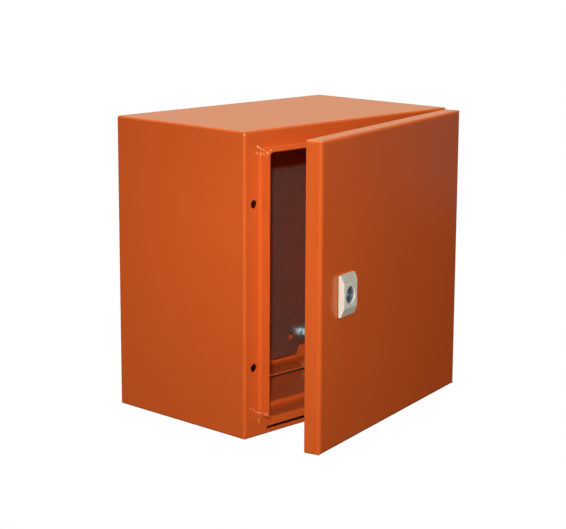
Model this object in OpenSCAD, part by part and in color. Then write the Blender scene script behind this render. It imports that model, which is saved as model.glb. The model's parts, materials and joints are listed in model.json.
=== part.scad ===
// Steel wall enclosure with a hinged door, a quarter-turn lock, a mounting plate and a
// blanked cable-gland opening in the floor. Millimetres. The front faces -Y, the wall is at
// +Y and +Z is up. The origin is the centre of the wall-fixing holes, on the outside of the
// back panel.

/* [Body] */
// Overall width of the body
body_w = 300; // [250:1:600]
// Overall height of the body
body_h = 300; // [250:1:600]
// Depth of the body, from the wall to the front flange
body_d = 181; // [150:1:400]
// Thickness of the folded steel sheet
sheet = 1.5; // [1:0.1:2]
// Outside radius of the body's folds
fold_r = 2.6; // [2.2:0.1:4]

/* [Front frame] */
// Distance from the body's side to the mouth of the opening
mouth_side_w = 22.5; // [22:0.5:30]
// Distance from the body's top or bottom to the mouth of the opening
mouth_end_w = 20.5; // [18:0.5:30]
// How far the rain lip stands forward of the flange
lip_depth = 12; // [9:0.5:13]
// Corner radius of the mouth
mouth_r = 4; // [3:0.5:8]
// Inside radius of the fold between flange and lip
lip_fold_r = 2.6; // [1:0.1:3]
// Height of the downturned drip edge on the bottom lip
drip_h = 7.3; // [5:0.1:9]
// Height of the open lap seam in the bottom flange above the underside
seam_z = 6.5; // [6:0.1:7]
// Width of the lap seam
seam_gap = 2.3; // [1:0.1:2.4]
// Distance from the body's side to the end of the lap seam
seam_inset = 30.5; // [26:0.5:40]
// Depth of the closed fold behind the lap seam
seam_pocket = 8; // [4:0.5:12]

/* [Floor and gland plate] */
// Distance from the body's side to the raised panel in the floor
raised_side_in = 35; // [33:0.5:60]
// Distance from the front flange to the raised panel
raised_front = 61; // [40:1:65]
// Distance from the raised panel to the back of the body
raised_back_in = 29; // [20:1:40]
// Height by which the panel is raised
raise_h = 5; // [4.5:0.1:8]
// Corner radius of the raised panel
raised_r = 8; // [5:1:12]
// Width of the land at each end of the cable opening, inside the raised panel
gland_land_w = 13.5; // [11:0.5:30]
// Width of the land in front of and behind the cable opening
gland_land_d = 17; // [15:0.5:24]
// Corner radius of the cable opening
gland_open_r = 6; // [2:1:10]
// Thickness of the gland plate
gland_plate_t = 1.5; // [1:0.1:2]
// Thickness of the gland plate's gasket when it is clamped
gland_gasket_t = 2; // [1:0.1:3]
// Gap between the gland plate and the edge of its recess
gland_clear = 2; // [1:0.5:3]
// Diameter of the gland plate screws
gland_screw_d = 5; // [4:0.5:5]

/* [Back panel and wall fixing] */
// Distance from the body's side to the wall-fixing holes
wall_hole_side_in = 25; // [15:0.5:50]
// Distance from the body's top or bottom to the wall-fixing holes
wall_hole_end_in = 25; // [15:0.5:50]
// Diameter of the wall-fixing holes
wall_hole_d = 8.5; // [6:0.5:12]

/* [Mounting plate] */
// Gap between the mounting plate and the body's side
plate_side_gap = 23; // [20:1:40]
// Gap between the mounting plate and the body's top or bottom
plate_end_gap = 12.5; // [11:0.5:30]
// Thickness of the mounting plate
plate_t = 2; // [1.5:0.1:3]
// Distance from the back panel to the mounting plate
plate_standoff = 14.5; // [10:0.5:30]
// Distance from the plate's side to its studs
stud_side_in = 19.5; // [12:0.5:36]
// Distance from the plate's top or bottom to its studs
stud_end_in = 23.5; // [20:0.5:40]
// Diameter of the plate studs
stud_d = 8; // [6:1:8]
// Distance from the plate's side to its spare holes
spare_side_in = 42; // [39:0.5:80]
// Distance from the plate's top or bottom to its spare holes
spare_end_in = 21.5; // [16:0.5:40]
// Diameter of the plate's spare holes
spare_d = 8.5; // [6:0.5:9]
// Height of the notch in each corner of the plate
notch_h = 10.4; // [6:0.1:14]
// Width of the notch in each corner of the plate, at its open side
notch_w = 33.5; // [20:0.5:34]
// How much narrower the notch is at its closed side
notch_slope = 4.5; // [0:0.5:8]

/* [Door] */
// Gap between the door's edge and the body's side
door_side_in = 0.5; // [0:0.1:1]
// Gap between the door's edge and the body's top or bottom
door_end_in = 1.5; // [0:0.1:3]
// Depth of the door, from its front to the free edge of its return
door_d = 16.4; // [15:0.1:20]
// Gap between the free edge of the return and the front flange
door_gap = 2.6; // [2:0.1:3]
// Outside radius of the door's folds
door_fold_r = 3.6; // [2.2:0.1:4]
// Angle at which the door stands ajar
door_ajar = 13.7; // [0:0.1:90]
// Width of the foam seal
seal_w = 9; // [6:0.5:10]
// Gap between the foam seal and the lip when the door is shut
seal_clear = 0.3; // [0.2:0.1:0.6]

/* [Hinges] */
// Distance from the body's top or bottom to the middle of the hinge
hinge_end_in = 70; // [50:1:90]
// Gap between the hinge knuckles and the door's return
hinge_wall_gap = 0.2; // [0.2:0.1:1]
// Distance of the hinge axis in front of the flange
hinge_out = 10; // [9.6:0.1:11]
// Distance from the body's side to the hinge-fixing holes
hinge_hole_inset = 12.8; // [12:0.1:14]
// Diameter of the hinge-fixing holes
hinge_hole_d = 8.2; // [7:0.1:9]
// Diameter of the hinge pin
pin_d = 4; // [3:0.5:4]
// Diameter of the hinge knuckles
knuckle_d = 6.4; // [5.5:0.1:6.4]
// Length of the middle knuckle, which belongs to the body
knuckle_mid = 18; // [10:1:24]
// Length of each outer knuckle, which belong to the door
knuckle_end = 11; // [6:1:16]
// Gap between two knuckles
knuckle_gap = 0.3; // [0.2:0.1:0.6]
// Radial running clearance of the pin in the door's knuckles
pin_run = 0.05; // [0.02:0.01:0.1]
// Thickness of the hinge's steel
leaf_t = 2.5; // [2:0.1:3]
// How deep the door's return is notched beside each hinge
hinge_notch_d = 5.6; // [5:0.1:7]

/* [Lock] */
// Distance from the body's side to the lock's axis
lock_inset = 47.4; // [42:0.2:60]
// Distance of the lock's axis below mid-height
lock_drop = 1.6; // [-20:0.2:60]
// Width of the lock's housing
lock_w = 27; // [24:0.5:30]
// Height of the lock's housing
lock_h = 40; // [36:0.5:50]
// How far the housing's flat middle stands proud of its seal
lock_proud = 5.8; // [5:0.1:8]
// Thickness of the housing's rim
lock_rim = 2.6; // [2:0.1:4]
// Height of the housing's flat middle
lock_flat_h = 24; // [22:0.5:30]
// Number of grip grooves on each slope of the housing
rib_count = 5; // [2:1:6]
// Depth of the round well in the housing's face
well_depth = 1.2; // [0.8:0.1:3]
// Diameter of the threaded barrel behind the housing
barrel_d = 22; // [20:0.5:24]
// Diameter of the turning insert
insert_d = 16.2; // [12:0.1:16.5]
// Reach of the cam from the lock's axis
cam_reach = 38; // [34:0.5:44]
// Width of the cam
cam_w = 14; // [12:0.5:18]
// Thickness of the cam
cam_t = 2.5; // [2:0.1:3]
// Gap between the cam and the back of the flange when the door is locked
cam_clear = 0.5; // [0.3:0.1:1]

/* [Hidden] */

$fn = 48;
eps = 0.5;                                   // how far a cutter runs past a face
fit = 0.1;                                   // radial gap between a thread and its hole

// Body and front frame
inner_fold_r = fold_r - sheet;
front_y = -body_d;
mouth_w = body_w - 2 * mouth_side_w;
mouth_h = body_h - 2 * mouth_end_w;
lip_front_y = front_y - lip_depth;
lip_centre = sheet + lip_fold_r;             // from the mouth to the centre of the lip's fold
drip_fold_r = sheet + 1;
floor_top = -body_h / 2 + sheet;

// Floor and gland plate
raised_w = body_w - 2 * raised_side_in;
raised_d = body_d - raised_front - raised_back_in;
raised_y = front_y + raised_front + raised_d / 2;
recess_w = raised_w - 2 * sheet;
recess_d = raised_d - 2 * sheet;
recess_r = raised_r - sheet;
recess_top = -body_h / 2 + raise_h;
gland_open_w = recess_w - 2 * gland_land_w;
gland_open_d = recess_d - 2 * gland_land_d;
gland_w = recess_w - 2 * gland_clear;
gland_d = recess_d - 2 * gland_clear;
gland_r = recess_r - gland_clear;
gland_top = recess_top - gland_gasket_t;
gland_bottom = gland_top - gland_plate_t;
gland_screw_x = (gland_w + gland_open_w) / 4;
gland_screw_y = (gland_d + gland_open_d) / 4;
gland_hole_d = gland_screw_d + 0.6;
gland_head_h = raise_h - gland_gasket_t - gland_plate_t;
gland_head_d = 9;
gland_nut_h = 4;
gland_nut_af = 8;
gland_gasket_lap = 1;                        // how far the gasket stays back from the opening
gland_nut_top = recess_top + sheet + gland_nut_h;

// Wall fixing
wall_pitch_w = body_w - 2 * wall_hole_side_in;
wall_pitch_h = body_h - 2 * wall_hole_end_in;

// Mounting plate
plate_w = body_w - 2 * plate_side_gap;
plate_h = body_h - 2 * plate_end_gap;
stud_pitch_w = plate_w - 2 * stud_side_in;
stud_pitch_h = plate_h - 2 * stud_end_in;
spare_pitch_w = plate_w - 2 * spare_side_in;
spare_pitch_h = plate_h - 2 * spare_end_in;
plate_back = -sheet - plate_standoff;
plate_front = plate_back - plate_t;
stud_collar_d = 14;
stud_hole_d = stud_d + 1;
stud_tail = 5;
washer_t = 1.6;
washer_d = 2 * stud_d;
washer_bore = stud_d + 0.4;
nut_h = 6.5;
nut_af = 13;

// Door
door_w = body_w - 2 * door_side_in;
door_h = body_h - 2 * door_end_in;
door_back = front_y - door_gap;
door_front = door_back - door_d;
door_skin = door_front + sheet;              // inner face of the door's panel
seal_back = lip_front_y - seal_clear;
seal_corner_r = 1.5;                         // inner corner radius of the seal

// Hinges
hinge_pitch = body_h - 2 * hinge_end_in;
hinge_x = body_w / 2 - door_side_in - sheet - hinge_wall_gap - knuckle_d / 2;
hinge_y = front_y - hinge_out;
hinge_hole_x = body_w / 2 - hinge_hole_inset;
leaf_foot_x = mouth_w / 2 + lip_centre + 0.2;
leaf_foot_end = body_w / 2 - fold_r - 5;
leaf_h = knuckle_mid + 2 * knuckle_gap + 2 * knuckle_end;
hinge_notch_h = leaf_h + 4;
door_plate_t = 2;                            // hinge plate on the inside of the door
door_plate_in = 11;                          // how far it reaches inwards from the hinge axis
pin_tail = 1;                                // how far the pin stands out below its knuckle
pin_head_h = 1.2;
pin_head_gap = 0.3;
hinge_stud_d = 6;
hinge_stud_tail = 1;
hinge_head_d = 10;
hinge_head_h = 5;
hinge_key_af = 5;
hinge_key_depth = 3;
hinge_washer_t = 1.6;
hinge_washer_d = 13;

// Earth studs
earth_d = 6;
earth_len = 18;
earth_nut_af = 10;
earth_nut_h = 5;
earth_nut_gap = 1;                           // room for a cable lug between the two nuts
earth_flange_d = 12;
earth_flange_t = 1;
body_earth_x = body_w / 2 - 38;
body_earth_y = front_y + 30;
door_earth_x = body_w / 2 - 45;
door_earth_z = -body_h / 2 + 45;

// Lock
lock_x = -body_w / 2 + lock_inset;
lock_z = -lock_drop;
lock_seal_t = 0.5;
lock_back = door_front - lock_seal_t;        // plane on which the housing sits
lock_face = lock_back - lock_proud;
lock_hole_d = barrel_d + 0.6;
well_d = insert_d + 1.4;
well_floor = lock_face + well_depth;
cam_screw_d = 4;
cam_screw_head_d = 8;
cam_screw_head_h = 2.6;
cam_screw_len = 5;                           // from the front of the cam into the insert
cam_washer_d = 14;
cam_washer_t = 1;
cam_corner_r = 3;
cam_front = front_y + sheet + cam_clear;
cam_back = cam_front + cam_t;
barrel_end = front_y - 1.5;
insert_step_d = 12;
spindle_w = 8;
key_well_d = 11.4;
key_well_depth = 7;
key_post_d = 5;
key_bit_w = 3;
key_bit_span = 10.6;
barrel_step = 4;                             // narrow end of the barrel's bore
insert_sink = 0.2;                           // how far the insert's face lies below the well's floor
housing_chamfer = 0.8;
groove_w = 0.7;
groove_depth = 0.6;
groove_margin = 1.6;
lock_nut_t = 4.5;
lock_nut_af = 27;

paint = [0.84, 0.33, 0.11];
zinc = [0.72, 0.73, 0.75];
galvanised = [0.46, 0.45, 0.44];
cream = [0.86, 0.83, 0.76];
foam = [0.13, 0.13, 0.14];

// Sign pairs for what sits at all four corners of a rectangle
corners = [for (sx = [-1, 1], sz = [-1, 1]) [sx, sz]];

// ---- shared shapes ----

// Rectangle with round corners, centred
module round_rect(w, h, r) {
  square([w - 2 * r, h], center = true);
  square([w, h - 2 * r], center = true);
  for (sx = [-1, 1], sy = [-1, 1])
    translate([sx * (w / 2 - r), sy * (h / 2 - r)]) circle(r);
}

// Rectangle with its two corners at -Y round and the other two square
module round_front(w, d, r) {
  translate([-w / 2 + r, 0]) square([w - 2 * r, d]);
  translate([-w / 2, r]) square([w, d - r]);
  for (sx = [-1, 1]) translate([sx * (w / 2 - r), r]) circle(r);
}

// Lays an XY outline into the XZ plane and extrudes it from y0 to y1
module wall_slab(y0, y1) {
  translate([0, y1, 0]) rotate([90, 0, 0]) linear_extrude(y1 - y0) children();
}

// Box with folded edges: round along Y and round all around its front
module folded_box(w, h, y0, y1, r) {
  intersection() {
    wall_slab(y0, y1) round_rect(w, h, r);
    translate([0, y0, -h]) linear_extrude(2 * h) round_front(w, y1 - y0, r);
    rotate([0, 90, 0]) translate([0, y0, -w]) linear_extrude(2 * w) round_front(h, y1 - y0, r);
  }
}

// Cylinder along Y from y0 to y1
module rod_y(d, y0, y1) {
  translate([0, y1, 0]) rotate([90, 0, 0]) cylinder(d = d, h = y1 - y0);
}

// Hexagonal nut along Y with a round bore
module hex_nut_y(af, bore, y0, y1) {
  difference() {
    translate([0, y1, 0]) rotate([90, 0, 0]) cylinder(d = af / cos(30), h = y1 - y0, $fn = 6);
    rod_y(bore, y0 - eps, y1 + eps);
  }
}

// Hexagonal nut along Z with a round bore
module hex_nut_z(af, bore, z0, z1) {
  difference() {
    translate([0, 0, z0]) cylinder(d = af / cos(30), h = z1 - z0, $fn = 6);
    translate([0, 0, z0 - eps]) cylinder(d = bore, h = z1 - z0 + 2 * eps);
  }
}

// Swings what is drawn for the shut door to where it stands ajar
module on_door() {
  translate([hinge_x, hinge_y, 0]) rotate(door_ajar) translate([-hinge_x, -hinge_y, 0]) children();
}

// ---- body ----

// Section of the rain lip: X is the distance out from the mouth, Y is forward negative
module lip_section() {
  translate([0, -lip_depth]) square([sheet, lip_depth - lip_fold_r]);
  intersection() {
    difference() {
      translate([lip_centre, -lip_fold_r]) circle(lip_centre);
      translate([lip_centre, -lip_fold_r]) circle(lip_fold_r);
    }
    translate([0, -lip_fold_r]) square([lip_centre, lip_centre]);
  }
}

// Section of the bottom lip, which turns down into a drip edge
module drip_section() {
  difference() {
    union() {
      intersection() {
        lip_section();
        translate([0, -lip_depth + drip_fold_r]) square([lip_centre, lip_depth + sheet]);
      }
      intersection() {
        translate([drip_fold_r, -lip_depth + drip_fold_r]) circle(drip_fold_r);
        translate([0, -lip_depth]) square(drip_fold_r);
      }
      translate([drip_fold_r, -lip_depth]) square([drip_h - drip_fold_r, sheet]);
    }
    translate([drip_fold_r, -lip_depth + drip_fold_r]) circle(drip_fold_r - sheet);
  }
}

// A straight run of a lip section along one side of the mouth; angle 0 is the right side
module lip_run(angle, reach, length) {
  rotate([0, -angle, 0]) translate([reach, front_y, -length / 2]) linear_extrude(length) children();
}

// The rain lip all around the mouth
module rain_lip() {
  for (side = [0, 180]) lip_run(side, mouth_w / 2, mouth_h - 2 * mouth_r) lip_section();
  lip_run(90, mouth_h / 2, mouth_w - 2 * mouth_r) lip_section();
  lip_run(270, mouth_h / 2, mouth_w - 2 * mouth_r) drip_section();
  for (c = corners)
    translate([c[0] * (mouth_w / 2 - mouth_r), front_y, c[1] * (mouth_h / 2 - mouth_r)])
      mirror([c[0] < 0 ? 1 : 0, 0, 0]) mirror([0, 0, c[1] < 0 ? 1 : 0])
        rotate([90, 0, 0]) rotate_extrude(angle = 90) translate([mouth_r, 0]) mirror([0, 1]) lip_section();
}

// Outline, seen from above, that is centred on the raised floor panel
module raised_outline(w, d, r) {
  translate([0, raised_y]) round_rect(w, d, r);
}

// Lap seam: a long narrow slot with round ends in the bottom flange
module seam_slot() {
  length = body_w - 2 * seam_inset;
  translate([0, -body_h / 2 + seam_z]) round_rect(length, seam_gap, seam_gap / 2 - 0.01);
}

// Where the gland plate's screws go
module at_gland_screws() {
  for (sx = [-1, 1], sy = [-1, 0, 1])
    translate([sx * gland_screw_x, raised_y + sy * gland_screw_y, 0]) children();
}

// Where the hinge-fixing holes go: both sides of the flange, so that the door can hang on either
module at_hinge_holes() {
  for (c = corners) translate([c[0] * hinge_hole_x, 0, c[1] * hinge_pitch / 2]) children();
}

// Closed fold behind the bottom flange, which keeps rain that enters the lap seam out of the body
module seam_fold() {
  span = body_w - 2 * sheet + 0.02;
  top = -body_h / 2 + seam_z + seam_gap + 3;
  deep = seam_pocket + sheet;
  translate([-span / 2, front_y + sheet + seam_pocket, floor_top - 0.01])
    cube([span, sheet, top - floor_top]);
  translate([-span / 2, front_y + sheet - 0.01, top - sheet]) cube([span, deep, sheet]);
}

module body_shell() {
  color(paint) {
    difference() {
      union() {
        difference() {
          folded_box(body_w, body_h, front_y, 0, fold_r);
          folded_box(body_w - 2 * sheet, body_h - 2 * sheet, front_y + sheet, 2 * eps, inner_fold_r);
        }
        seam_fold();
        translate([0, 0, -body_h / 2])
          linear_extrude(raise_h + sheet) raised_outline(raised_w, raised_d, raised_r);
      }
      wall_slab(front_y - eps, front_y + sheet + eps)
        round_rect(mouth_w + 2 * lip_centre, mouth_h + 2 * lip_centre, mouth_r + lip_centre);
      wall_slab(front_y - eps, front_y + sheet + eps) seam_slot();
      translate([0, 0, -body_h / 2 - eps])
        linear_extrude(raise_h + eps) raised_outline(recess_w, recess_d, recess_r);
      translate([0, 0, -body_h / 2])
        linear_extrude(raise_h + sheet + eps) raised_outline(gland_open_w, gland_open_d, gland_open_r);
      at_gland_screws() translate([0, 0, -body_h / 2]) cylinder(d = gland_hole_d, h = 20);
      at_hinge_holes() rod_y(hinge_hole_d, front_y - eps, front_y + 2 * sheet);
    }
    rain_lip();
  }
}

module back_panel() {
  color(paint) difference() {
    wall_slab(-sheet, 0) round_rect(body_w - 2 * sheet, body_h - 2 * sheet, inner_fold_r);
    for (c = corners)
      translate([c[0] * wall_pitch_w / 2, 0, c[1] * wall_pitch_h / 2])
        rod_y(wall_hole_d, -sheet - eps, eps);
  }
}

// ---- mounting plate ----

module at_studs() {
  for (c = corners) translate([c[0] * stud_pitch_w / 2, 0, c[1] * stud_pitch_h / 2]) children();
}

module plate_outline() {
  difference() {
    square([plate_w, plate_h], center = true);
    for (c = corners)
      mirror([c[0] < 0 ? 1 : 0, 0]) mirror([0, c[1] < 0 ? 1 : 0])
        translate([plate_w / 2, plate_h / 2])
          polygon([
            [-notch_w, eps], [eps, eps], [eps, -notch_h], [-notch_w + notch_slope, -notch_h], [-notch_w, 0]
          ]);
  }
}

module mounting_plate() {
  color(galvanised) difference() {
    wall_slab(plate_front, plate_back) plate_outline();
    at_studs() rod_y(stud_hole_d, plate_front - eps, plate_back + eps);
    for (c = corners)
      translate([c[0] * spare_pitch_w / 2, 0, c[1] * spare_pitch_h / 2])
        rod_y(spare_d, plate_front - eps, plate_back + eps);
  }
}

module plate_studs() {
  color(zinc) at_studs() {
    rod_y(stud_collar_d, plate_back, -sheet);
    rod_y(stud_d, plate_front - washer_t - nut_h - stud_tail, plate_back);
  }
}

module plate_washers() {
  color(zinc) at_studs() difference() {
    rod_y(washer_d, plate_front - washer_t, plate_front);
    rod_y(washer_bore, plate_front - washer_t - eps, plate_front + eps);
  }
}

module plate_nuts() {
  y1 = plate_front - washer_t;
  color(zinc) at_studs() hex_nut_y(nut_af, stud_d + 2 * fit, y1 - nut_h, y1);
}

// ---- gland plate ----

module gland_plate() {
  color(paint) difference() {
    translate([0, 0, gland_bottom]) linear_extrude(gland_plate_t) raised_outline(gland_w, gland_d, gland_r);
    at_gland_screws() translate([0, 0, gland_bottom - eps]) cylinder(d = gland_hole_d, h = 10);
  }
}

module gland_gasket() {
  color(foam) difference() {
    translate([0, 0, gland_top]) linear_extrude(gland_gasket_t) raised_outline(gland_w, gland_d, gland_r);
    translate([0, 0, gland_top - eps]) linear_extrude(gland_gasket_t + 2 * eps)
      raised_outline(gland_open_w + 2 * gland_gasket_lap, gland_open_d + 2 * gland_gasket_lap,
                     gland_open_r + gland_gasket_lap);
    at_gland_screws() translate([0, 0, gland_top - eps]) cylinder(d = gland_hole_d, h = 10);
  }
}

module gland_screws() {
  color(zinc) at_gland_screws() {
    translate([0, 0, gland_bottom - gland_head_h]) cylinder(d = gland_head_d, h = gland_head_h);
    translate([0, 0, gland_bottom]) cylinder(d = gland_screw_d, h = gland_nut_top - gland_bottom);
  }
}

module gland_nuts() {
  z0 = recess_top + sheet;
  color(zinc) at_gland_screws() hex_nut_z(gland_nut_af, gland_screw_d + 2 * fit, z0, z0 + gland_nut_h);
}

// ---- earth studs ----

module body_earth_stud() {
  color(zinc) translate([body_earth_x, body_earth_y, floor_top]) {
    cylinder(d = earth_flange_d, h = earth_flange_t);
    cylinder(d = earth_d, h = earth_len);
  }
}

module body_earth_nuts() {
  z0 = floor_top + earth_flange_t;
  z1 = z0 + earth_nut_h + earth_nut_gap;
  color(zinc) translate([body_earth_x, body_earth_y, 0]) {
    hex_nut_z(earth_nut_af, earth_d + 2 * fit, z0, z0 + earth_nut_h);
    hex_nut_z(earth_nut_af, earth_d + 2 * fit, z1, z1 + earth_nut_h);
  }
}

// ---- hinges ----

// Half of a hinge that is fixed to the body: foot on the flange, arm and middle knuckle
module hinge_body_leaf(z) {
  arm_front = lip_front_y + 0.1;
  foot_h = leaf_h - 2;
  color(zinc) translate([0, 0, z]) difference() {
    union() {
      translate([leaf_foot_x, front_y - leaf_t, -foot_h / 2])
        cube([leaf_foot_end - leaf_foot_x, leaf_t, foot_h]);
      translate([leaf_foot_x, arm_front, -knuckle_mid / 2])
        cube([leaf_t, front_y - arm_front, knuckle_mid]);
      translate([leaf_foot_x, arm_front, -knuckle_mid / 2])
        cube([hinge_x - leaf_foot_x, leaf_t, knuckle_mid]);
      translate([hinge_x, hinge_y, -knuckle_mid / 2]) cylinder(d = knuckle_d, h = knuckle_mid);
    }
    translate([hinge_x, hinge_y, -knuckle_mid]) cylinder(d = pin_d + 0.04, h = 2 * knuckle_mid);
    translate([hinge_hole_x, 0, 0])
      rod_y(hinge_stud_d + 2 * fit, front_y - leaf_t - hinge_stud_tail - eps, front_y + eps);
  }
}

module upper_hinge_body_leaf() hinge_body_leaf(hinge_pitch / 2);
module lower_hinge_body_leaf() hinge_body_leaf(-hinge_pitch / 2);

// Half of a hinge that is welded inside the door: plate, two webs and two outer knuckles
module hinge_door_leaf(z) {
  plate_x = hinge_x - door_plate_in;
  plate_end = body_w / 2 - door_side_in - door_fold_r - 0.4;
  color(zinc) on_door() translate([0, 0, z]) difference() {
    union() {
      translate([plate_x, door_skin, -leaf_h / 2]) cube([plate_end - plate_x, door_plate_t, leaf_h]);
      for (s = [-1, 1])
        translate([hinge_x, hinge_y, s * (knuckle_mid + knuckle_end) / 2 + s * knuckle_gap]) {
          translate([0, 0, -knuckle_end / 2]) cylinder(d = knuckle_d, h = knuckle_end);
          translate([-knuckle_d / 2, door_skin - hinge_y, -knuckle_end / 2])
            cube([plate_end - hinge_x + knuckle_d / 2, hinge_y - door_skin, knuckle_end]);
        }
    }
    translate([hinge_x, hinge_y, -leaf_h]) cylinder(d = pin_d + 2 * pin_run, h = 2 * leaf_h);
  }
}

module upper_hinge_door_leaf() hinge_door_leaf(hinge_pitch / 2);
module lower_hinge_door_leaf() hinge_door_leaf(-hinge_pitch / 2);

module hinge_pin(z) {
  color(zinc) translate([hinge_x, hinge_y, z]) {
    translate([0, 0, -leaf_h / 2 - pin_tail]) cylinder(d = pin_d, h = leaf_h + pin_tail + pin_head_gap);
    translate([0, 0, leaf_h / 2 + pin_head_gap]) cylinder(d = knuckle_d - 0.6, h = pin_head_h);
  }
}

module upper_hinge_pin() hinge_pin(hinge_pitch / 2);
module lower_hinge_pin() hinge_pin(-hinge_pitch / 2);

// Where the two hinge screws go, from inside the body through the flange
module at_hinge_screws() {
  for (s = [-1, 1]) translate([hinge_hole_x, 0, s * hinge_pitch / 2]) children();
}

module hinge_screws() {
  head_y = front_y + sheet + hinge_washer_t;
  head_end = head_y + hinge_head_h;
  color(zinc) at_hinge_screws() {
    rod_y(hinge_stud_d, front_y - leaf_t - hinge_stud_tail, head_y);
    difference() {
      rod_y(hinge_head_d, head_y, head_end);
      translate([0, head_end + eps, 0]) rotate([90, 0, 0])
        cylinder(d = hinge_key_af / cos(30), h = hinge_key_depth + eps, $fn = 6);
    }
  }
}

module hinge_washers() {
  color(zinc) at_hinge_screws() difference() {
    rod_y(hinge_washer_d, front_y + sheet, front_y + sheet + hinge_washer_t);
    rod_y(hinge_stud_d + 2 * fit, front_y, front_y + sheet + hinge_washer_t + eps);
  }
}

// ---- door ----

module door_panel() {
  color(paint) on_door() difference() {
    folded_box(door_w, door_h, door_front, door_back, door_fold_r);
    folded_box(door_w - 2 * sheet, door_h - 2 * sheet, door_skin, door_back + eps, door_fold_r - sheet);
    translate([lock_x, 0, lock_z]) rod_y(lock_hole_d, door_front - eps, door_skin + eps);
    for (s = [-1, 1])
      translate([door_w / 2 - 2 * sheet, door_back - hinge_notch_d, s * hinge_pitch / 2 - hinge_notch_h / 2])
        cube([3 * sheet, hinge_notch_d + eps, hinge_notch_h]);
  }
}

module door_seal() {
  line_w = mouth_w + sheet;
  line_h = mouth_h + sheet;
  color(foam) on_door() wall_slab(door_skin, seal_back) difference() {
    round_rect(line_w + seal_w, line_h + seal_w, mouth_r + seal_w / 2);
    round_rect(line_w - seal_w, line_h - seal_w, seal_corner_r);
  }
}

module door_earth_stud() {
  color(zinc) on_door() translate([door_earth_x, 0, door_earth_z]) {
    rod_y(earth_flange_d, door_skin, door_skin + earth_flange_t);
    rod_y(earth_d, door_skin, door_skin + earth_len);
  }
}

module door_earth_nuts() {
  y0 = door_skin + earth_flange_t;
  y1 = y0 + earth_nut_h + earth_nut_gap;
  color(zinc) on_door() translate([door_earth_x, 0, door_earth_z]) {
    hex_nut_y(earth_nut_af, earth_d + 2 * fit, y0, y0 + earth_nut_h);
    hex_nut_y(earth_nut_af, earth_d + 2 * fit, y1, y1 + earth_nut_h);
  }
}

// ---- lock ----

// Side outline of the housing: thin at its ends, thick at its flat middle. X is proud of the door
module housing_side() {
  polygon([
    [0, -lock_h / 2], [lock_rim, -lock_h / 2], [lock_proud, -lock_flat_h / 2],
    [lock_proud, lock_flat_h / 2], [lock_rim, lock_h / 2], [0, lock_h / 2]
  ]);
}

// Outline from above: the long edges of the front are chamfered
module housing_top() {
  chamfer = housing_chamfer;
  polygon([
    [-lock_w / 2, 0], [-lock_w / 2, -lock_proud + chamfer], [-lock_w / 2 + chamfer, -lock_proud],
    [lock_w / 2 - chamfer, -lock_proud], [lock_w / 2, -lock_proud + chamfer], [lock_w / 2, 0]
  ]);
}

// Cutters for the grip grooves on the two slopes of the housing
module slope_grooves() {
  run = (lock_h - lock_flat_h) / 2;
  rise = lock_proud - lock_rim;
  for (s = [-1, 1], i = [1:rib_count]) {
    t = (i - 0.4) / (rib_count + 0.2);
    translate([0, -lock_rim - rise * t, s * (lock_h / 2 - run * t)])
      rotate([s * atan(rise / run), 0, 0])
        cube([lock_w - 2 * groove_margin, 2 * groove_depth, groove_w], center = true);
  }
}

module lock_housing() {
  color(cream) on_door() translate([lock_x, 0, lock_z]) difference() {
    union() {
      translate([0, lock_back, 0]) intersection() {
        translate([-lock_w / 2, 0, 0]) rotate([0, 0, -90]) rotate([90, 0, 0])
          mirror([0, 0, 1]) linear_extrude(lock_w) housing_side();
        translate([0, 0, -lock_h]) linear_extrude(2 * lock_h) housing_top();
      }
      rod_y(barrel_d, lock_back, barrel_end);
    }
    translate([0, lock_back, 0]) slope_grooves();
    rod_y(well_d, lock_face - eps, well_floor);
    rod_y(insert_d + 2 * fit, well_floor - eps, barrel_end - barrel_step);
    rod_y(insert_step_d + 2 * fit, barrel_end - barrel_step - 1, barrel_end + eps);
  }
}

module lock_seal() {
  color(foam) on_door() translate([lock_x, 0, lock_z]) difference() {
    wall_slab(lock_back, door_front) square([lock_w - 1, lock_h - 1], center = true);
    rod_y(barrel_d + 0.2, lock_back - eps, door_front + eps);
  }
}

module lock_nut() {
  color(zinc) on_door() translate([lock_x, 0, lock_z])
    hex_nut_y(lock_nut_af, barrel_d + 2 * fit, door_skin, door_skin + lock_nut_t);
}

// Turning insert: face with a key well, post and two bits, then the stem and the square spindle
module lock_insert() {
  face_y = well_floor + insert_sink;
  color(zinc) on_door() translate([lock_x, 0, lock_z]) difference() {
    union() {
      difference() {
        rod_y(insert_d, face_y, barrel_end - barrel_step - 0.2);
        rod_y(key_well_d, face_y - eps, face_y + key_well_depth);
      }
      rod_y(key_post_d, face_y + 0.5, face_y + key_well_depth + eps);
      translate([-key_bit_span / 2, face_y + 1, -key_bit_w / 2])
        cube([key_bit_span, key_well_depth, key_bit_w]);
      rod_y(insert_step_d, barrel_end - barrel_step - 1, cam_front - 0.1);
      translate([-spindle_w / 2, cam_front - 1, -spindle_w / 2]) cube([spindle_w, cam_t + 0.8, spindle_w]);
    }
    rod_y(cam_screw_d + 2 * fit, cam_front - cam_screw_len - 1, cam_back + eps);
  }
}

// Cam: hangs down when the lock is open and turns sideways, behind the flange, when it is shut
module lock_cam() {
  r = cam_corner_r;
  color(zinc) on_door() translate([lock_x, 0, lock_z]) difference() {
    wall_slab(cam_front, cam_back) {
      circle(d = cam_w + 4);
      translate([-cam_w / 2, -cam_reach + r]) square([cam_w, cam_reach - r]);
      translate([-cam_w / 2 + r, -cam_reach]) square([cam_w - 2 * r, 2 * r]);
      for (s = [-1, 1]) translate([s * (cam_w / 2 - r), -cam_reach + r]) circle(r);
    }
    translate([-spindle_w / 2 - 0.1, cam_front - eps, -spindle_w / 2 - 0.1])
      cube([spindle_w + 0.2, cam_t + 2 * eps, spindle_w + 0.2]);
  }
}

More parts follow.
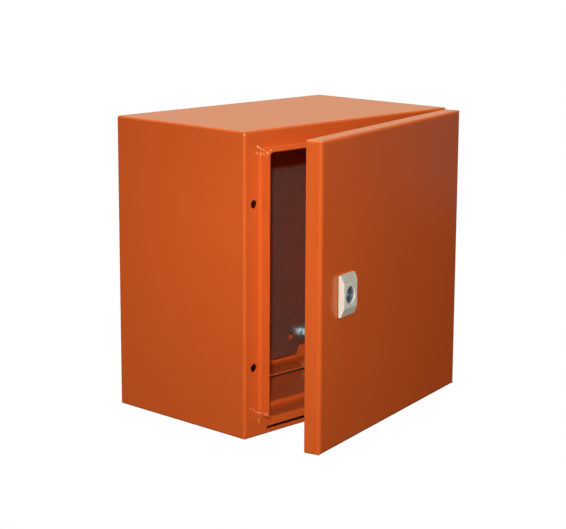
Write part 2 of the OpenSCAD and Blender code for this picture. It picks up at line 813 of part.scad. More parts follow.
module cam_washer() {
  color(zinc) on_door() translate([lock_x, 0, lock_z]) difference() {
    rod_y(cam_washer_d, cam_back, cam_back + cam_washer_t);
    rod_y(cam_screw_d + 2 * fit, cam_back - eps, cam_back + cam_washer_t + eps);
  }
}

module cam_screw() {
  y0 = cam_back + cam_washer_t;
  color(zinc) on_door() translate([lock_x, 0, lock_z]) {
    rod_y(cam_screw_d, cam_front - cam_screw_len, y0);
    difference() {
      rod_y(cam_screw_head_d, y0, y0 + cam_screw_head_h);
      translate([-cam_screw_head_d, y0 + cam_screw_head_h / 2, -0.6])
        cube([2 * cam_screw_head_d, cam_screw_head_h, 1.2]);
    }
  }
}

body_shell();
back_panel();
mounting_plate();
plate_studs();
plate_washers();
plate_nuts();
gland_plate();
gland_gasket();
gland_screws();
gland_nuts();
body_earth_stud();
body_earth_nuts();
upper_hinge_body_leaf();
lower_hinge_body_leaf();
upper_hinge_pin();
lower_hinge_pin();
hinge_screws();
hinge_washers();
door_panel();
door_seal();
upper_hinge_door_leaf();
lower_hinge_door_leaf();
door_earth_stud();
door_earth_nuts();
lock_housing();
lock_seal();
lock_nut();
lock_insert();
lock_cam();
cam_washer();
cam_screw();
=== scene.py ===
"""Looks of the steel wall enclosure: powder coat, zinc, galvanised plate, cream lock, welds, threads,
foam seal, studio light and camera. Metres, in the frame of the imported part."""

import json
import math
import random

import bmesh
import bpy
from mathutils import Matrix, Vector


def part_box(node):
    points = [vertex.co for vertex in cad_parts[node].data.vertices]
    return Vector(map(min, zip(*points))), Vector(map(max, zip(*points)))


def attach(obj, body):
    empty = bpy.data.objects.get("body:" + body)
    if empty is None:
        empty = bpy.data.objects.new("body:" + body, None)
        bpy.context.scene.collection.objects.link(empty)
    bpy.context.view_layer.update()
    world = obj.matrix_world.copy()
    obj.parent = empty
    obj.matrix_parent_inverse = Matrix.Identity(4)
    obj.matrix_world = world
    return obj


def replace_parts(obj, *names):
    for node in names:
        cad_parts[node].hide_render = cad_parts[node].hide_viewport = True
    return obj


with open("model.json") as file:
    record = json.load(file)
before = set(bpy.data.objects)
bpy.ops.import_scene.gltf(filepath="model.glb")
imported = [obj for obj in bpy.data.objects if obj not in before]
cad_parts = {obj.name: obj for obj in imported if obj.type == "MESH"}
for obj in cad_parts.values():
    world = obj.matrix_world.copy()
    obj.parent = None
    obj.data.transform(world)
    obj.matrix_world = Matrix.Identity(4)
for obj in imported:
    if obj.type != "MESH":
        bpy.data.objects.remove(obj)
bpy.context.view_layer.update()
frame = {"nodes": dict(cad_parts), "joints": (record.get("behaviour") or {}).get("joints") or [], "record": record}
nodes = frame["nodes"]
PI2 = 2 * math.pi

# Socket numbers of a Mix node for vectors and for colours
VECTOR_A, VECTOR_B, VECTOR_OUT = 4, 5, 1
COLOR_A, COLOR_B, COLOR_OUT = 6, 7, 2


# ---------------------------------------------------------------- node helpers
def linear(r, g, b):
    """A colour from its screen values, 0 to 255."""
    def one(v):
        v /= 255
        return v / 12.92 if v <= 0.04045 else ((v + 0.055) / 1.055) ** 2.4
    return (one(r), one(g), one(b), 1)


class Mat:
    """A Principled material with short ways to add noise, bump and colour variation."""

    def __init__(self, name, **sockets):
        self.m = bpy.data.materials.new(name)
        self.m.use_nodes = True
        self.t = self.m.node_tree
        self.bsdf = self.t.nodes["Principled BSDF"]
        self.place = self.t.nodes.new("ShaderNodeTexCoord").outputs["Object"]
        for k, v in sockets.items():
            self.bsdf.inputs[k.replace("_", " ")].default_value = v

    def node(self, kind, **props):
        n = self.t.nodes.new("ShaderNode" + kind)
        for k, v in props.items():
            if k in n.inputs:
                n.inputs[k].default_value = v
            else:
                setattr(n, k, v)
        return n

    def link(self, a, b):
        self.t.links.new(a, b)

    def into(self, out, socket):
        self.link(out, self.bsdf.inputs[socket])

    def noise(self, size, detail, out="Fac"):
        n = self.node("TexNoise", Scale=1 / size, Detail=detail)
        self.link(self.place, n.inputs["Vector"])
        return n.outputs[out]

    def cells(self, size, at, out="Distance"):
        n = self.node("TexVoronoi", Scale=1 / size)
        self.link(at, n.inputs["Vector"])
        return n.outputs[out]

    def ramp(self, fac, *stops):
        """Colour of a factor between two stops of (position, colour)."""
        n = self.node("ValToRGB")
        for element, (position, color) in zip(n.color_ramp.elements, stops):
            element.position = position
            element.color = color
        self.link(fac, n.inputs["Fac"])
        return n.outputs["Color"]

    def value(self, fac, lo, hi, a=0.3, b=0.7):
        """A number that goes from lo to hi while the factor goes from a to b."""
        n = self.node("MapRange")
        for k, v in (("From Min", a), ("From Max", b), ("To Min", lo), ("To Max", hi)):
            n.inputs[k].default_value = v
        self.link(fac, n.inputs["Value"])
        return n.outputs["Result"]

    def painted_crevice_shade(self, color, reach, dark, shut=0.15, free=0.42):
        """Painted shade: the colour, darkened to a share of itself where the surface is shut in within the reach.
        """
        ao = self.node("AmbientOcclusion", samples=8, Distance=reach)
        shade = self.value(ao.outputs["AO"], dark, 1.0, shut, free)
        mix = self.node("Mix", data_type="RGBA", blend_type="MULTIPLY")
        mix.inputs["Factor"].default_value = 1.0
        self.link(color, mix.inputs[COLOR_A])
        self.link(shade, mix.inputs[COLOR_B])
        return mix.outputs[COLOR_OUT]

    def bump(self, round_r, *layers):
        """Edges softened by round_r, then layers of (height, strength, depth in metres)."""
        normal = self.node("Bevel", samples=6, Radius=round_r).outputs["Normal"]
        for height, strength, depth in layers:
            n = self.node("Bump", Strength=strength, Distance=depth)
            self.link(height, n.inputs["Height"])
            self.link(normal, n.inputs["Normal"])
            normal = n.outputs["Normal"]
        self.into(normal, "Normal")


# ---------------------------------------------------------------- materials
def make_paint(name, a, b, rough, **sockets):
    """Satin powder coat: slow change of tone, shallow waviness, and painted shade in deep creases and gaps."""
    m = Mat(name, **sockets)
    tone = m.ramp(m.noise(0.09, 3), (0.3, a), (0.7, b))
    m.into(m.painted_crevice_shade(tone, 0.016, 0.04), "Base Color")
    m.into(m.value(m.noise(0.004, 3), *rough), "Roughness")
    m.bump(0.0004, (m.noise(0.035, 2), 0.25, 0.0006))
    return m.m


def make_zinc(name, a, b, rough):
    m = Mat(name, Metallic=1.0)
    m.into(m.ramp(m.noise(0.004, 4), (0.3, a), (0.7, b)), "Base Color")
    m.into(m.value(m.noise(0.0015, 3), *rough), "Roughness")
    m.bump(0.00025, (m.noise(0.0006, 3), 0.10, 0.00005))
    return m.m


def make_galvanised():
    """Zinc-coated sheet with a faint spangle: cells with ragged outlines."""
    m = Mat("galvanised_sheet", Metallic=1.0)
    ragged = m.node("Mix", data_type="VECTOR")
    ragged.inputs["Factor"].default_value = 0.004
    m.link(m.place, ragged.inputs[VECTOR_A])
    m.link(m.noise(1 / 120, 2, "Color"), ragged.inputs[VECTOR_B])
    grey = m.node("RGBToBW")
    m.link(m.cells(0.006, ragged.outputs[VECTOR_OUT], "Color"), grey.inputs["Color"])
    spangle = grey.outputs["Val"]
    # The warm tint of the base colour is a painted reflection of the orange interior; the cells are the spangle.
    m.into(m.ramp(spangle, (0.1, linear(233, 196, 176)), (0.9, linear(239, 202, 182))), "Base Color")
    m.into(m.value(spangle, 0.43, 0.46, 0.1, 0.9), "Roughness")
    m.bump(0.0003)
    return m.m


def make_cream():
    """Cream moulding, with painted shade in its grooves."""
    m = Mat("cream_plastic", IOR=1.46, Subsurface_Weight=0.08, Subsurface_Radius=(0.002, 0.0015, 0.001))
    tone = m.ramp(m.noise(0.01, 2), (0.3, linear(213, 208, 196)), (0.7, linear(218, 214, 203)))
    m.into(m.painted_crevice_shade(tone, 0.0014, 0.35, 0.2, 0.85), "Base Color")
    m.into(m.value(m.noise(0.002, 2), 0.34, 0.42), "Roughness")
    m.bump(0.00012, (m.noise(0.0004, 2), 0.10, 0.00002))
    return m.m


def make_foam():
    m = Mat("closed_cell_foam", IOR=1.45)
    pores = m.cells(0.0007, m.place)
    # The colour is darkest at the pores' centres: painted shade in the pores.
    m.into(m.ramp(pores, (0.0, linear(10, 10, 11)), (0.6, linear(30, 30, 32))), "Base Color")
    m.into(m.value(m.noise(0.003, 2), 0.72, 0.86), "Roughness")
    m.bump(0.0006, (pores, 0.2, 0.0002), (m.noise(0.006, 2), 0.3, 0.0006))
    return m.m


PAINT = make_paint("powder_coat", linear(205, 88, 35), linear(208, 90, 37), (0.20, 0.26),
                   IOR=1.5, Specular_Tint=(1.0, 0.97, 0.30, 1))
# The weld drops' base colour is lighter than the powder coat's: a painted highlight on them.
WELD_GLINT_PAINT = make_paint("powder_coat_on_weld_painted_glint", linear(212, 100, 46), linear(220, 108, 52), (0.16, 0.22),
                        IOR=2.0)
ZINC = make_zinc("zinc_plating", linear(170, 188, 202), linear(198, 212, 224), (0.26, 0.38))
DULL_ZINC = make_zinc("aged_zinc", linear(128, 168, 190), linear(154, 192, 212), (0.40, 0.52))
DARK_ZINC = make_zinc("die_cast_zinc", linear(150, 165, 174), linear(186, 198, 204), (0.42, 0.54))
GALV = make_galvanised()
CREAM = make_cream()
FOAM = make_foam()

LOOK = {"paint": PAINT, "zinc": ZINC, "galvanised": GALV, "lock_plastic": CREAM, "foam": FOAM}
OWN_LOOK = {"lock_insert": DARK_ZINC, "plate_washers": DULL_ZINC}
for sub in frame["record"]["subparts"]:
    look = OWN_LOOK.get(sub["node"], LOOK[sub["material_slot"]])
    for slot in nodes[sub["node"]].material_slots:
        slot.material = look


# ---------------------------------------------------------------- sizes
shell_lo, shell_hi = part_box("body_shell")
W2, H2 = shell_hi.x, shell_hi.z                      # half width and height of the body
SHEET = 0.0015                                       # thickness of the body's sheet and back panel
LIP_DEPTH = 0.012                                    # from the flange's front to the rain lip's front
RIM_SIDE, RIM_END = 0.0225, 0.0205                   # from the body's side and top to the mouth
FLANGE_Y = shell_lo.y + LIP_DEPTH                    # front of the flange
MOUTH_X, MOUTH_Z = W2 - RIM_SIDE, H2 - RIM_END       # half size of the mouth

# Diameter and pitch of the threads; width across flats and bore of the nuts
M8, M6, M5 = (0.008, 0.00125), (0.006, 0.001), (0.005, 0.0008)
NUT_M8, NUT_M6, NUT_M5 = (0.013, 0.0081), (0.010, 0.0061), (0.008, 0.0051)
LOCK_NUT = (0.027, 0.0222)

# The CAD's rest place has the door ajar: SWING takes what is drawn for the shut door there
door_swing = next(j for j in frame["joints"] if j["name"] == "door_swing")
HINGE = Vector(door_swing["pos_m"])
AJAR = -math.radians(door_swing["range_deg"][0])
SWING = Matrix.Translation(HINGE) @ Matrix.Rotation(AJAR, 4, "Z") @ Matrix.Translation(-HINGE)

random.seed(7)


def shut_box(node):
    """Lowest and highest corner that a node of the door has when the door is shut."""
    back = SWING.inverted()
    places = [back @ v.co for v in nodes[node].data.vertices]
    return tuple(Vector([pick(c[i] for c in places) for i in range(3)]) for pick in (min, max))


# ---------------------------------------------------------------- places to draw at
def turned(angle):
    """A turn about +Z."""
    return Matrix.Rotation(angle, 4, "Z")


def forwards(x, y, z):
    """Turns a shape made along +Z so that it points to -Y from that place."""
    return Matrix.Translation((x, y, z)) @ Matrix.Rotation(math.pi / 2, 4, "X")


def into_door(lo, hi):
    """Turns a shape made along +Z so that it stands on the back of the door, for a box of the shut door."""
    foot = Matrix.Translation(((lo.x + hi.x) / 2, lo.y, (lo.z + hi.z) / 2))
    return SWING @ foot @ Matrix.Rotation(-math.pi / 2, 4, "X")


# ---------------------------------------------------------------- shapes as (verts, faces)
def bands(rows, n, closed=False):
    """Faces between rows of n vertices, each row a ring; closed also joins the last row to the first."""
    return [(j * n + i, j * n + (i + 1) % n, (j + 1) % rows * n + (i + 1) % n, (j + 1) % rows * n + i)
            for j in range(rows if closed else rows - 1) for i in range(n)]


def lathe(profile, n=48):
    """A closed turned shape along +Z; profile is (radius or radius(angle), z) from end to end."""
    V = []
    for r, z in profile:
        for i in range(n):
            a = PI2 * i / n
            here = r(a) if callable(r) else r
            V.append((here * math.cos(a), here * math.sin(a), z))
    F = bands(len(profile), n)
    first, last = profile[0][0], profile[-1][0]
    if callable(first) or first > 1e-7:
        F.append(tuple(range(n - 1, -1, -1)))
    if callable(last) or last > 1e-7:
        F.append(tuple((len(profile) - 1) * n + i for i in range(n)))
    return V, F


def nut(flats, bore, h, n=72):
    """Hexagonal nut along +Z from 0 to h with 30 degree chamfers and a chamfered bore."""
    rise = math.tan(math.radians(30))
    face = 0.475 * flats                              # radius of the flat ring at each end
    corner = flats / 2 / math.cos(math.pi / 6)
    mouth = 0.05 * bore                               # how much wider the bore is at its ends
    sink = 0.07 * bore                                # how deep the bore's chamfer goes

    def radius(z):
        cone = face + min(z, h - z) / rise
        return lambda a: min(flats / 2 / math.cos(a % (math.pi / 3) - math.pi / 6), cone)

    heights = [(corner - face) * rise * share for share in (0, 0.2, 0.45, 0.7, 1)]
    profile = [(bore / 2 + mouth, 0)]
    profile += [(radius(z), z) for z in heights]
    profile += [(radius(h - z), h - z) for z in reversed(heights)]
    profile += [(bore / 2 + mouth, h), (bore / 2, h - sink), (bore / 2, sink)]
    return lathe(profile, n)[0], bands(len(profile), n, closed=True)


def thread(d, pitch, length, n=28):
    """Threaded rod along +Z from 0 to length with a chamfered tip, crests at diameter d."""
    root = d / 2 - 0.6 * pitch
    flank = [(0.0, 0.0), (0.14, 0.0), (0.48, 1.0), (0.66, 1.0)]    # (share of the pitch, share of the depth)
    turns = int(math.ceil(length / pitch)) + 3
    width = n + 1
    V, F = [], []
    for j in range(-1, turns - 1):
        for share, up in flank:
            for i in range(width):
                a = PI2 * i / n
                z = min(max(pitch * (j + share - 0.5 + i / n), 0.0), length)
                r = min(root + (d / 2 - root) * up, root + (length - z) * 0.9)
                V.append((r * math.cos(a), r * math.sin(a), z))
    rows = turns * len(flank)
    for j in range(rows - 1):
        for i in range(n):
            F.append((j * width + i, j * width + i + 1, (j + 1) * width + i + 1, (j + 1) * width + i))
    F.append(tuple(reversed(range(n))))
    F.append(tuple((rows - 1) * width + i for i in range(n)))
    return V, F


def weld_ring(ring_r, z, bead_r, count=36, n=8, ripple=0.12, step=0.0022):
    """A rippled weld bead that lies in a ring around +Z."""
    path = [Vector((ring_r * math.cos(PI2 * i / count), ring_r * math.sin(PI2 * i / count), z))
            for i in range(count)]
    V = []
    run = 0.0
    for j, p in enumerate(path):
        if j:
            run += (p - path[j - 1]).length
        r = bead_r * (1 + ripple * math.sin(PI2 * run / step))
        side = (path[(j + 1) % count] - path[j - 1]).cross(Vector((0, 0, 1))).normalized()
        for i in range(n):
            a = PI2 * i / n
            V.append(p + side * (r * math.cos(a)) + Vector((0, 0, r * math.sin(a))))
    return V, bands(count, n, closed=True)


def ball(n=14, rows=8):
    """A ball of radius 1."""
    return lathe([(math.sin(math.pi * j / rows), -math.cos(math.pi * j / rows)) for j in range(rows + 1)], n)


# ---------------------------------------------------------------- pieces
def piece(name, parts, mat, body, smooth):
    """One object from parts of (verts, faces, matrix), with edges sharper than smooth degrees kept sharp."""
    V, F = [], []
    for verts, faces, at in parts:
        k = len(V)
        V += [at @ Vector(v) for v in verts]
        F += [[i + k for i in f] for f in faces]
    mesh = bpy.data.meshes.new(name)
    mesh.from_pydata([tuple(v) for v in V], [], F)
    bm = bmesh.new()
    bm.from_mesh(mesh)
    bmesh.ops.remove_doubles(bm, verts=bm.verts, dist=1e-6)
    bmesh.ops.dissolve_degenerate(bm, edges=bm.edges, dist=1e-7)
    bmesh.ops.recalc_face_normals(bm, faces=bm.faces)
    for f in bm.faces:
        f.smooth = True
    for e in bm.edges:
        if len(e.link_faces) == 2 and e.calc_face_angle(0) > math.radians(smooth):
            e.smooth = False
    bm.to_mesh(mesh)
    bm.free()
    mesh.materials.append(mat)
    o = bpy.data.objects.new(name, mesh)
    bpy.context.scene.collection.objects.link(o)
    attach(o, body)
    return o


def stand_in(name, parts, mat, node, body, smooth=30):
    """A detailed piece that takes the place of one CAD node."""
    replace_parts(piece(name, parts, mat, body, smooth), node)


# ---------------------------------------------------------------- welds
def dab(at, normal, size, along=(0, 0, 1), flat=0.4, long=1.0):
    """A drop of weld metal that lies on a face."""
    n = Vector(normal).normalized()
    across = n.cross(Vector(along)).normalized()
    run = across.cross(n)
    spin = Matrix((run * size * long, across * size, n * size * flat)).transposed().to_4x4()
    return (*ball(), Matrix.Translation(at) @ spin)


def weld_row(stops, pitch, size):
    """Overlapping drops along a line of (place, normal)."""
    out = []
    for (p, n), (q, m) in zip(stops, stops[1:]):
        p, n, q, m = Vector(p), Vector(n), Vector(q), Vector(m)
        count = max(1, round((q - p).length / pitch))
        for i in range(count):
            t = (i + random.uniform(0.2, 0.8)) / count
            out.append(dab(p.lerp(q, t), n.lerp(m, t), size * random.uniform(0.75, 1.2), q - p, 0.75))
    return out


def frame_corner_welds():
    """Hand-laid weld where flange, fold and lip meet, and one spot at the body's top corner."""
    out, side, skew = (0, -1, 0), (-1, 0, 0), (-1, -1, 0)
    z_way, y_way, x_way = (0, 0, 1), (0, 1, 0), (1, 0, 0)
    front, mx, mz = FLANGE_Y, MOUTH_X, MOUTH_Z
    face = mx + SHEET                                 # outer face of the lip
    low = weld_row([((-mx - 0.0149, front, -mz + 0.0102), out),
                    ((-mx - 0.0084, front, -mz + 0.0066), out),
                    ((-mx - 0.0043, front, -mz + 0.0036), out),
                    ((-mx - 0.0025, front - 0.0009, -mz + 0.0032), skew),
                    ((-face, front - 0.0032, -mz + 0.0037), side),
                    ((-face, front - 0.0088, -mz + 0.0029), side)], 0.0034, 0.0016)
    low += [dab(*spot) for spot in (
        ((-mx - 0.0023, front, -mz - 0.0051), out, 0.0013, z_way, 0.6, 2.2),
        ((-face, front - 0.0096, -mz + 0.0031), side, 0.0017, y_way, 0.7))]
    top = weld_row([((-mx - 0.0058, front, mz + 0.0056), out),
                    ((-mx - 0.0030, front - 0.0006, mz + 0.0030), out),
                    ((-mx + 0.0006, front - 0.0030, mz + 0.0008), (-1, -0.4, 1))], 0.0022, 0.0015)
    top += [dab(*spot) for spot in (
        ((-mx - 0.0052, front, mz - 0.0012), out, 0.0018, z_way, 0.8, 1.1),
        ((-face, front - 0.0034, mz - 0.0019), side, 0.0018, z_way, 0.8),
        ((-face - 0.0001, front - 0.0099, mz - 0.0008), side, 0.0015, z_way, 0.7, 1.5),
        ((-mx + 0.0025, front - 0.0099, mz + 0.0015), z_way, 0.0014, x_way, 0.7, 1.5),
        ((-W2 + 0.0009, front + 0.0009, H2 - 0.0024), (-1, -1, 0.5), 0.0013, z_way, 0.4, 1.6))]
    left = low + top
    mirror = Matrix.Diagonal((-1, 1, 1, 1))
    both = left + [(v, f, mirror @ m) for v, f, m in left]
    piece("frame_corner_welds", both, WELD_GLINT_PAINT, "body", 60)


def door_corner_welds():
    """Small weld spots, ground and painted, where the door's four returns meet at its front."""
    lo, hi = shut_box("door_panel")
    inset = 0.0013
    spots = []
    for sx, x in ((-1, lo.x), (1, hi.x)):
        for sz, z in ((-1, lo.z), (1, hi.z)):
            v, f, m = dab((x - sx * inset, lo.y + inset, z - sz * inset), (sx, -1, sz), 0.0012, flat=0.45)
            spots.append((v, f, SWING @ m))
    piece("door_corner_welds", spots, WELD_GLINT_PAINT, "door", 60)


# ---------------------------------------------------------------- threaded studs, nuts and screws
def plate_fixings():
    """Collar studs welded to the back panel, and the nuts that hold the mounting plate on them."""
    studs_lo, studs_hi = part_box("plate_studs")
    nuts_lo, nuts_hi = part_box("plate_nuts")
    plate_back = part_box("mounting_plate")[1].y
    collar_r, soft = 0.007, 0.0002                    # radius of the collar, and how round its edges are
    collar_h = -plate_back - SHEET
    collar = lathe([(collar_r - soft, 0), (collar_r, soft), (collar_r, collar_h - 2 * soft),
                    (collar_r - 2 * soft, collar_h), (0.0, collar_h)], 40)
    bead = weld_ring(collar_r + 0.0004, 0.0004, 0.0008)
    rod = thread(*M8, plate_back - studs_lo.y)
    hexagon = nut(*NUT_M8, nuts_hi.y - nuts_lo.y)
    studs, nuts = [], []
    for sx in (-1, 1):
        for sz in (-1, 1):
            x, z = sx * (studs_hi.x - collar_r), sz * (studs_hi.z - collar_r)
            studs.append((*collar, forwards(x, -SHEET, z)))
            studs.append((*bead, forwards(x, -SHEET, z)))
            studs.append((*rod, forwards(x, plate_back, z)))
            nuts.append((*hexagon, forwards(x, nuts_hi.y, z) @ turned(0.55 + 0.2 * sx * sz)))
    stand_in("plate_studs_threaded", studs, DULL_ZINC, "plate_studs", "body", 35)
    stand_in("plate_nuts_chamfered", nuts, DULL_ZINC, "plate_nuts", "body", 25)


def earth_stud(place, length):
    """Welded stud along +Z: flange, fillet and thread."""
    foot = lathe([(0.0060, 0), (0.0060, 0.0007), (0.0057, 0.0010), (0.0036, 0.0010), (0.0029, 0.0016),
                  (0, 0.0016)], 40)
    return [(*foot, place), (*thread(*M6, length), place)]


def earth_nuts(place):
    """Two nuts above the stud's flange, with room for a cable lug between them."""
    turns = (random.uniform(0, 1), random.uniform(0, 1))
    return [(*nut(*NUT_M6, 0.005), place @ Matrix.Translation((0, 0, z)) @ turned(a))
            for z, a in zip((0.001, 0.007), turns)]


def earth_fixings():
    """The earth points: one stands on the body's floor, one on the back of the door."""
    lo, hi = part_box("body_earth_stud")
    place = Matrix.Translation(((lo.x + hi.x) / 2, (lo.y + hi.y) / 2, lo.z))
    stud = earth_stud(place, hi.z - lo.z)
    stand_in("body_earth_stud_threaded", stud, ZINC, "body_earth_stud", "body")
    stand_in("body_earth_nuts_chamfered", earth_nuts(place), ZINC, "body_earth_nuts", "body", 25)
    lo, hi = shut_box("door_earth_stud")
    place = into_door(lo, hi)
    stud = earth_stud(place, hi.y - lo.y)
    stand_in("door_earth_stud_threaded", stud, ZINC, "door_earth_stud", "door")
    stand_in("door_earth_nuts_chamfered", earth_nuts(place), ZINC, "door_earth_nuts", "door", 25)


def star(r, depth):
    """Radius of a six-lobed driver recess."""
    return lambda a: r - depth * (0.5 - 0.5 * math.cos(6 * a))


def gland_fixings():
    """Pan-head screws that hold the gland plate from below, and their nuts."""
    lo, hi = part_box("gland_screws")
    nuts_lo, nuts_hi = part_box("gland_nuts")
    head_r, head_h, overlap = 0.0045, 0.0015, 0.0001
    key = star(0.0021, 0.0006)
    pan = lathe([(0, 0.0009), (key, 0.0009), (key, 0), (0.0030, 0), (0.0040, 0.0002), (head_r, 0.0007),
                 (head_r, head_h), (0, head_h)], 48)
    foot = head_h - overlap
    shank = thread(*M5, hi.z - lo.z - foot)
    hexagon = nut(*NUT_M5, nuts_hi.z - nuts_lo.z)
    screws, nuts = [], []
    for x in (lo.x + head_r, hi.x - head_r):
        for y in (lo.y + head_r, (lo.y + hi.y) / 2, hi.y - head_r):
            screws.append((*pan, Matrix.Translation((x, y, lo.z)) @ turned(random.uniform(0, 1))))
            screws.append((*shank, Matrix.Translation((x, y, lo.z + foot))))
            nuts.append((*hexagon, Matrix.Translation((x, y, nuts_lo.z)) @ turned(random.uniform(0, 1))))
    stand_in("gland_screws_threaded", screws, ZINC, "gland_screws", "body")
    stand_in("gland_nuts_chamfered", nuts, ZINC, "gland_nuts", "body", 25)


def lock_nut():
    lo, hi = shut_box("lock_nut")
    ring = nut(*LOCK_NUT, hi.y - lo.y, 96)
    stand_in("lock_nut_chamfered", [(*ring, into_door(lo, hi))], ZINC, "lock_nut", "door", 25)


# ---------------------------------------------------------------- soft seals
def loop(w, h, r, steps=7, stride=0.008):
    """Points and outward directions around a rectangle with round corners, centred."""
    signs = ((1, 1), (-1, 1), (-1, -1), (1, -1))
    corners = [Vector((sx * (w / 2 - r), sz * (h / 2 - r))) for sx, sz in signs]
    out = []
    for k, c in enumerate(corners):
        for i in range(steps + 1):
            a = math.pi / 2 * (k + i / steps)
            n = Vector((math.cos(a), math.sin(a)))
            out.append((c + n * r, n))
        start, end = out[-1][0], corners[(k + 1) % 4] + n * r
        count = int((end - start).length / stride)
        out += [(start.lerp(end, (i + 1) / (count + 1)), n) for i in range(count)]
    return out


def swept_loop(stations, section, uneven):
    """A closed band: section is (outward, up) pairs, up is +Z, and its width varies by the share uneven."""
    V = []
    wave = [random.uniform(0, PI2) for _ in range(4)]
    for j, (p, n) in enumerate(stations):
        t = PI2 * j / len(stations)
        k = 1 + uneven * sum(math.sin(f * t + w) for f, w in zip((5, 9, 14, 23), wave)) / 4
        V += [(p.x + n.x * u * k, p.y + n.y * u * k, z if z <= 0 else z * (1 - 0.5 * abs(1 - k)))
              for u, z in section]
    return V, bands(len(stations), len(section), closed=True)


def door_seal():
    """Foamed-in-place seal: a domed bead that was poured around the inside of the door."""
    lo, hi = shut_box("door_seal")
    width, high, corner_r = 0.009, hi.y - lo.y, 0.0052
    arc = [math.pi * i / 12 for i in range(13)]
    dome = [(0.5 * width * math.cos(a), high * (0.35 + 0.65 * math.sin(a))) for a in arc]
    section = [(0.46 * width, 0), *dome, (-0.46 * width, 0)]
    line = loop(hi.x - lo.x - width, hi.z - lo.z - width, corner_r)
    stand = Matrix(((1, 0, 0, 0), (0, 0, 1, lo.y), (0, 1, 0, 0), (0, 0, 0, 1)))
    place = SWING @ Matrix.Translation(((lo.x + hi.x) / 2, 0, (lo.z + hi.z) / 2)) @ stand
    bead = swept_loop(line, section, 0.05)
    stand_in("door_seal_foamed", [(*bead, place)], FOAM, "door_seal", "door", 60)


def pressed(node, body, edge):
    """A flat gasket that is clamped: the CAD outline with soft, rounded edges."""
    bm = bmesh.new()
    bm.from_mesh(nodes[node].data)
    bmesh.ops.remove_doubles(bm, verts=bm.verts, dist=1e-6)
    bmesh.ops.dissolve_limit(bm, angle_limit=math.radians(1), verts=bm.verts, edges=bm.edges)
    sharp = [e for e in bm.edges if len(e.link_faces) == 2 and e.calc_face_angle(0) > math.radians(50)]
    bmesh.ops.bevel(bm, geom=sharp, offset=edge, segments=3, profile=0.6, affect="EDGES", clamp_overlap=True)
    bm.verts.index_update()
    verts = [v.co.copy() for v in bm.verts]
    faces = [[v.index for v in f.verts] for f in bm.faces]
    bm.free()
    stand_in(node + "_pressed", [(verts, faces, Matrix())], FOAM, node, body, 50)


frame_corner_welds()
plate_fixings()
door_corner_welds()
earth_fixings()
gland_fixings()
lock_nut()
door_seal()
pressed("gland_gasket", "body", 0.0006)
pressed("lock_seal", "door", 0.00015)


# ---------------------------------------------------------------- light, floor and camera
WORLD_BACK = (0.66, 0.73, 0.18)                       # direction of the glow behind the object
BACK_GLOW, TOP_GLOW, FLOOR_GLOW, DIM_GLOW = 0.55, 0.53, 0.8, 0.012
WARM = (1.0, 0.97, 0.70, 1)
WHITE = (1, 1, 1, 1)


def area(name, loc, target, size, power, color=(1, 1, 1), spread=math.pi):
    """A rectangular light that the camera doesn't see."""
    d = bpy.data.lights.new(name, "AREA")
    d.shape = "RECTANGLE"
    d.size, d.size_y = size
    d.energy = power
    d.color = color
    d.spread = spread
    o = bpy.data.objects.new(name, d)
    scene.collection.objects.link(o)
    o.location = loc
    o.rotation_euler = (Vector(target) - Vector(loc)).to_track_quat("-Z", "Y").to_euler()
    o.visible_camera = False


def studio_world():
    """White to the camera. Its light comes from above, from behind the object and from the floor."""
    w = bpy.data.worlds.new("studio")
    scene.world = w
    w.use_nodes = True
    t = w.node_tree
    link = t.links.new

    def calc(op, a, b):
        n = t.nodes.new("ShaderNodeMath")
        n.operation = op
        for i, v in enumerate((a, b)):
            if isinstance(v, (int, float)):
                n.inputs[i].default_value = v
            else:
                link(v, n.inputs[i])
        return n.outputs[0]

    def lobe(direction, start, end, strength):
        """Glow that rises to its strength as the cosine to the direction goes from start to end."""
        d = t.nodes.new("ShaderNodeVectorMath")
        d.operation = "DOT_PRODUCT"
        d.inputs[1].default_value = direction
        link(sky.outputs["Generated"], d.inputs[0])
        m = t.nodes.new("ShaderNodeMapRange")
        m.interpolation_type = "SMOOTHSTEP"
        m.inputs["From Min"].default_value = start
        m.inputs["From Max"].default_value = end
        m.inputs["To Max"].default_value = strength
        link(d.outputs["Value"], m.inputs["Value"])
        return m.outputs["Result"]

    sky = t.nodes.new("ShaderNodeTexCoord")
    glow = calc("ADD", lobe(WORLD_BACK, 0.62, 0.97, BACK_GLOW), lobe((0, 0, 1), 0.0, 1.0, TOP_GLOW))
    glow = calc("ADD", glow, lobe((0, 0, -1), 0.6, 1.0, FLOOR_GLOW))
    glow = calc("ADD", glow, DIM_GLOW)
    background = t.nodes["Background"]
    seen = t.nodes.new("ShaderNodeLightPath").outputs["Is Camera Ray"]
    link(calc("MAXIMUM", glow, seen), background.inputs["Strength"])
    tint = t.nodes.new("ShaderNodeMix")
    tint.data_type = "RGBA"
    tint.inputs[COLOR_A].default_value = WARM
    tint.inputs[COLOR_B].default_value = WHITE
    link(seen, tint.inputs["Factor"])
    link(tint.outputs[COLOR_OUT], background.inputs["Color"])


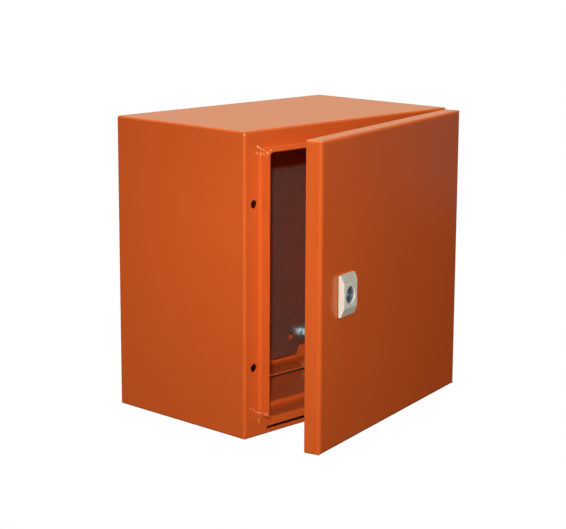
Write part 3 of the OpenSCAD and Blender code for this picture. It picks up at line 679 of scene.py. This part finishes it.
def studio_floor():
    """A plain white floor with no shadow on it, which is open to a view from below."""
    bpy.ops.mesh.primitive_plane_add(size=12, location=(0, 0, -H2 - 0.002))
    o = bpy.context.object
    o.name = "studio_floor"
    o.visible_diffuse = o.visible_glossy = o.visible_transmission = o.visible_shadow = False
    m = bpy.data.materials.new("white_floor")
    m.use_nodes = True
    t = m.node_tree
    t.nodes.remove(t.nodes["Principled BSDF"])
    side = t.nodes.new("ShaderNodeNewGeometry")
    mix = t.nodes.new("ShaderNodeMixShader")
    t.links.new(side.outputs["Backfacing"], mix.inputs[0])
    t.links.new(t.nodes.new("ShaderNodeEmission").outputs[0], mix.inputs[1])
    t.links.new(t.nodes.new("ShaderNodeBsdfTransparent").outputs[0], mix.inputs[2])
    t.links.new(mix.outputs[0], t.nodes["Material Output"].inputs["Surface"])
    o.data.materials.append(m)


def main_camera():
    """A camera in front of the box, to its left and a little above."""
    right = Vector((0.694, -0.72, 0.0048)).normalized()
    ahead = Vector((0.706, 0.6793, -0.2004)).normalized()
    up = right.cross(ahead).normalized()
    right = ahead.cross(up).normalized()
    cam = bpy.data.cameras.new("camera")
    cam.sensor_width = 36
    cam.lens = 108.2
    cam.shift_x, cam.shift_y = -0.0043, -0.0015
    cam.clip_end = 50
    o = bpy.data.objects.new("camera", cam)
    scene.collection.objects.link(o)
    stand = Matrix.Translation((-1.2595, -1.3024, 0.3474))
    o.matrix_world = stand @ Matrix((right, up, -ahead)).transposed().to_4x4()
    scene.camera = o


scene = bpy.context.scene
scene.view_settings.view_transform = "Standard"
scene.view_settings.look = "None"
studio_floor()
studio_world()
area("key", (-1.40, -1.42, 0.50), (-0.15, -0.15, 0.05), (0.035, 0.035), 2.70, spread=math.radians(50))
area("cool side", (1.6, -0.35, 0.15), (0.1, -0.2, 0.1), (0.5, 0.7), 0.30, (0.5, 0.6, 0.9))
area("overhead", (0.2, 0.3, 1.8), (0, 0, 0), (1.6, 1.6), 24, (1.0, 0.97, 0.85))
main_camera()
